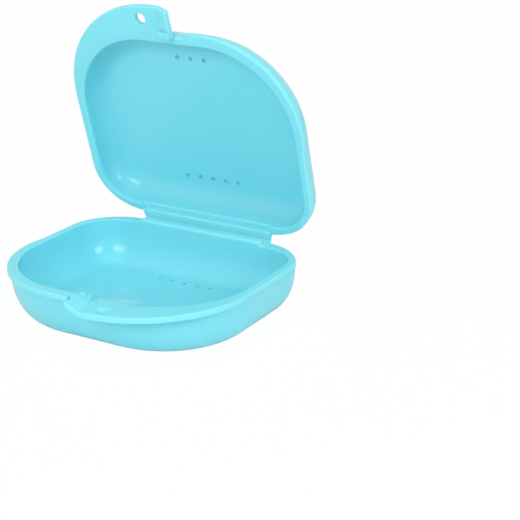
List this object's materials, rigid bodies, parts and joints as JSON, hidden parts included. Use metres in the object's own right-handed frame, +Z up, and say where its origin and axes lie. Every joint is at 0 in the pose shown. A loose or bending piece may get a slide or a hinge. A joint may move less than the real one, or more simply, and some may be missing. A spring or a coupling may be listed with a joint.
{
  "type": "retainer case",
  "caption": "Pocket-size hinged plastic case with rounded corners, vent holes, a film hinge, a snap latch of two meeting tongues and crescent finger flanges, for a dental retainer.",
  "frame": {"origin": "middle of the base's flat underside, on the surface that the case stands on", "axes": "+Z up, +Y towards the hinge at the back, -Y towards the latch at the front, +X to the right seen from the front"},
  "size_m": [0.0806, 0.0836, 0.0901],
  "materials": {
    "shell_plastic": "glossy light aqua polypropylene",
    "rim_plastic": "glossy light aqua polypropylene, thin edges",
    "hinge_plastic": "satin light aqua polypropylene, thin hinge"
  },
  "bodies": {
    "base": {"base_tray": "shell_plastic", "base_flange": "rim_plastic", "base_latch_tongue": "rim_plastic", "base_catch_block": "rim_plastic", "base_rim_lip": "rim_plastic", "base_hinge_ledge": "hinge_plastic", "hinge_film": "hinge_plastic"},
    "lid": {"lid_shell": "shell_plastic", "lid_flange": "rim_plastic", "lid_latch_tongue": "rim_plastic", "lid_catch_block": "rim_plastic", "lid_rim_lip": "rim_plastic", "lid_hinge_ledge": "hinge_plastic"}
  },
  "joints": [
    {"name": "lid_hinge", "type": "hinge", "parent": "base", "child": "lid", "pos_m": [0, 0.0352, 0.016], "axis": [-1, 0, 0], "range_deg": [-73.5, 106.5]}
  ]
}
